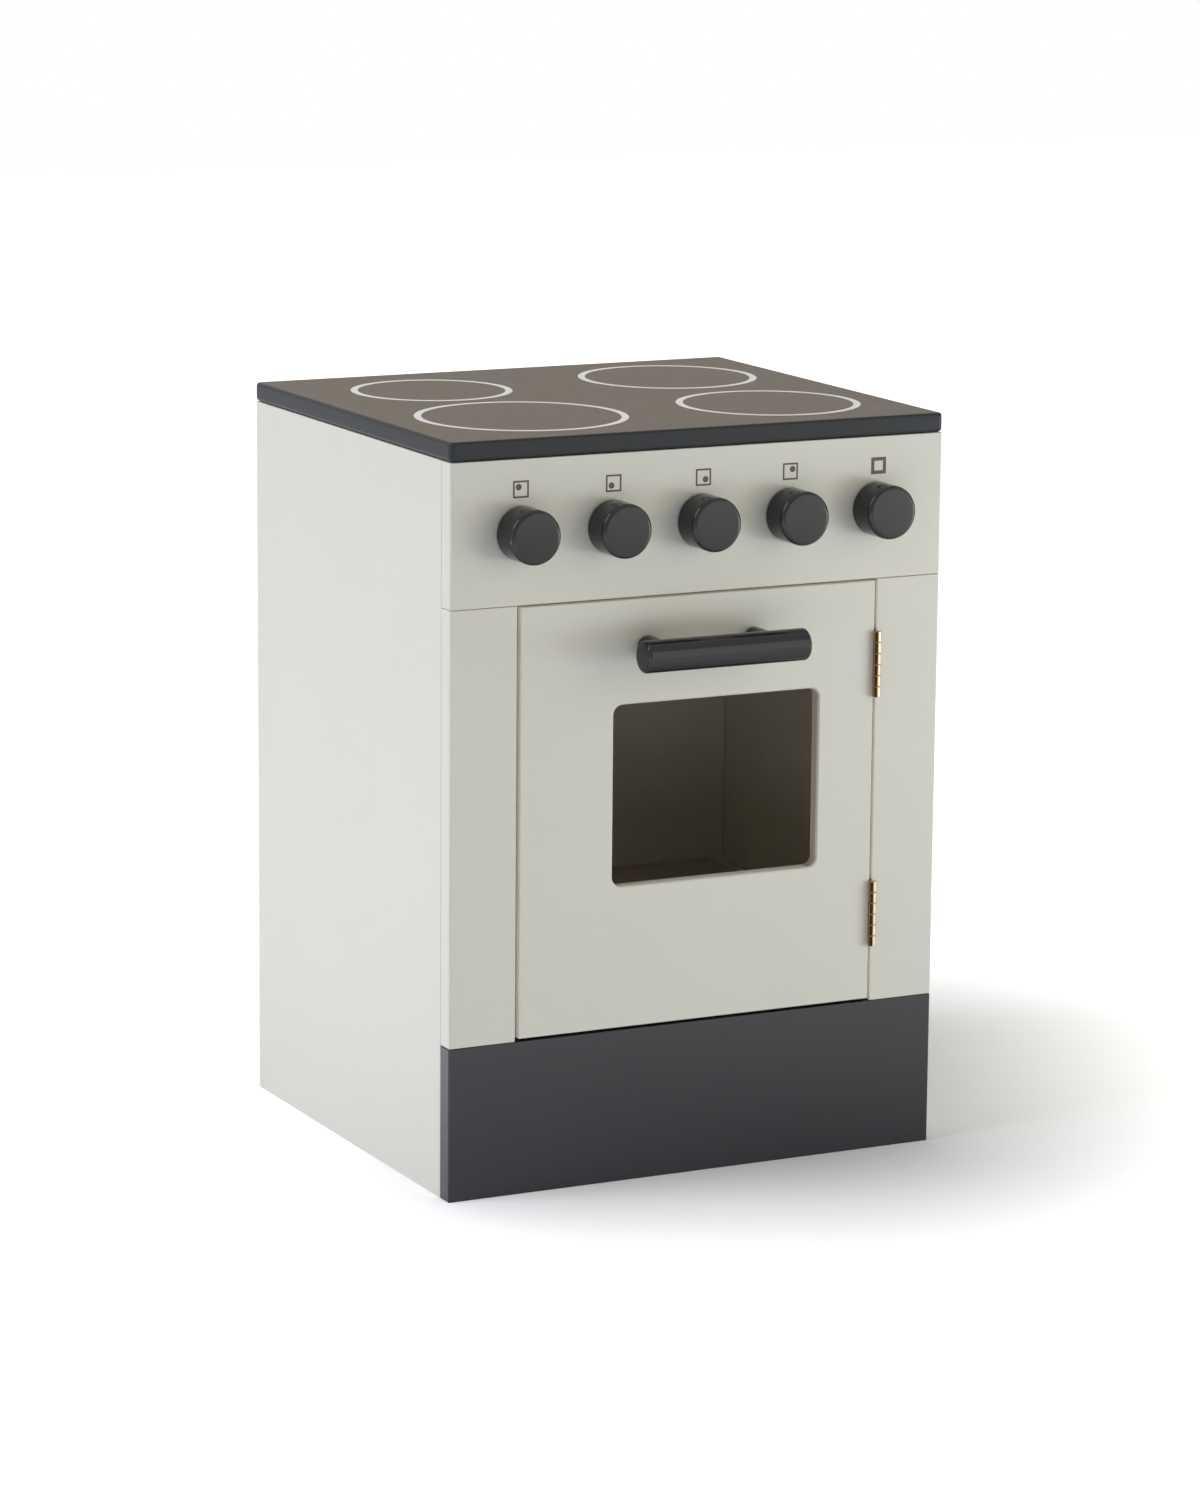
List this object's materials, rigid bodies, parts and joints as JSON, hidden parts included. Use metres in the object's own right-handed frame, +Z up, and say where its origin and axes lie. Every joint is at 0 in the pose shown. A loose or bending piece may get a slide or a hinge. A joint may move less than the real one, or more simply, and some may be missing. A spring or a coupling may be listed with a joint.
{
  "type": "toy oven",
  "caption": "Wooden play cooker for a child: hob top, row of turning knobs, and an oven with a side-hung door that has a bar handle and an open window.",
  "frame": {"origin": "on the floor, under the middle of the whole: halfway between the hob top's sides, and halfway between the handle's front and the hob top's back edge", "axes": "+X to the cooker's right as a child faces it, -Y towards the child, +Z up"},
  "size_m": [0.3216, 0.3238, 0.4465],
  "materials": {
    "body_paint": "pale warm grey paint, satin",
    "dark_paint": "dark grey paint, satin",
    "hinge_brass": "bright brass plate",
    "screw_steel": "zinc plated",
    "magnet": "nickel plated"
  },
  "bodies": {
    "cabinet": {"side_panel_left": "body_paint", "side_panel_right": "body_paint", "back_panel": "body_paint", "oven_floor": "body_paint", "oven_ceiling": "body_paint", "hob_top": "dark_paint", "control_panel": "body_paint", "plinth_board": "dark_paint", "front_stile_left": "body_paint", "front_stile_right": "body_paint", "shelf_batten_left": "body_paint", "shelf_batten_right": "body_paint", "oven_shelf": "body_paint", "top_cleat_left": "body_paint", "top_cleat_right": "body_paint", "top_cleat_left_screw_1": "screw_steel", "top_cleat_left_screw_2": "screw_steel", "top_cleat_right_screw_1": "screw_steel", "top_cleat_right_screw_2": "screw_steel", "hinge_upper_frame_leaf": "hinge_brass", "hinge_upper_pin": "hinge_brass", "hinge_upper_frame_screw_1": "hinge_brass", "hinge_upper_frame_screw_2": "hinge_brass", "hinge_lower_frame_leaf": "hinge_brass", "hinge_lower_pin": "hinge_brass", "hinge_lower_frame_screw_1": "hinge_brass", "hinge_lower_frame_screw_2": "hinge_brass", "catch_block": "body_paint", "catch_magnet": "magnet"},
    "door": {"door_panel": "body_paint", "handle_bar": "dark_paint", "handle_post_left": "dark_paint", "handle_post_right": "dark_paint", "handle_screw_left": "screw_steel", "handle_screw_right": "screw_steel", "hinge_upper_door_leaf": "hinge_brass", "hinge_upper_door_screw_1": "hinge_brass", "hinge_upper_door_screw_2": "hinge_brass", "hinge_lower_door_leaf": "hinge_brass", "hinge_lower_door_screw_1": "hinge_brass", "hinge_lower_door_screw_2": "hinge_brass", "strike_plate": "screw_steel", "strike_screw": "screw_steel"},
    "turning_knob_1": {"knob_1": "dark_paint", "knob_1_screw": "screw_steel", "knob_1_washer": "screw_steel"},
    "turning_knob_2": {"knob_2": "dark_paint", "knob_2_screw": "screw_steel", "knob_2_washer": "screw_steel"},
    "turning_knob_3": {"knob_3": "dark_paint", "knob_3_screw": "screw_steel", "knob_3_washer": "screw_steel"},
    "turning_knob_4": {"knob_4": "dark_paint", "knob_4_screw": "screw_steel", "knob_4_washer": "screw_steel"},
    "turning_knob_5": {"knob_5": "dark_paint", "knob_5_screw": "screw_steel", "knob_5_washer": "screw_steel"}
  },
  "joints": [
    {"name": "door_hinge", "type": "hinge", "parent": "cabinet", "child": "door", "pos_m": [0.11745, -0.1254, 0.2212], "axis": [0, 0, 1], "range_deg": [0, 180]},
    {"name": "knob_1_turn", "type": "hinge", "parent": "cabinet", "child": "turning_knob_1", "pos_m": [-0.116, -0.133, 0.392], "axis": [0, -1, 0], "continuous": true},
    {"name": "knob_2_turn", "type": "hinge", "parent": "cabinet", "child": "turning_knob_2", "pos_m": [-0.058, -0.133, 0.392], "axis": [0, -1, 0], "continuous": true},
    {"name": "knob_3_turn", "type": "hinge", "parent": "cabinet", "child": "turning_knob_3", "pos_m": [0, -0.133, 0.392], "axis": [0, -1, 0], "continuous": true},
    {"name": "knob_4_turn", "type": "hinge", "parent": "cabinet", "child": "turning_knob_4", "pos_m": [0.058, -0.133, 0.392], "axis": [0, -1, 0], "continuous": true},
    {"name": "knob_5_turn", "type": "hinge", "parent": "cabinet", "child": "turning_knob_5", "pos_m": [0.116, -0.133, 0.392], "axis": [0, -1, 0], "continuous": true}
  ]
}
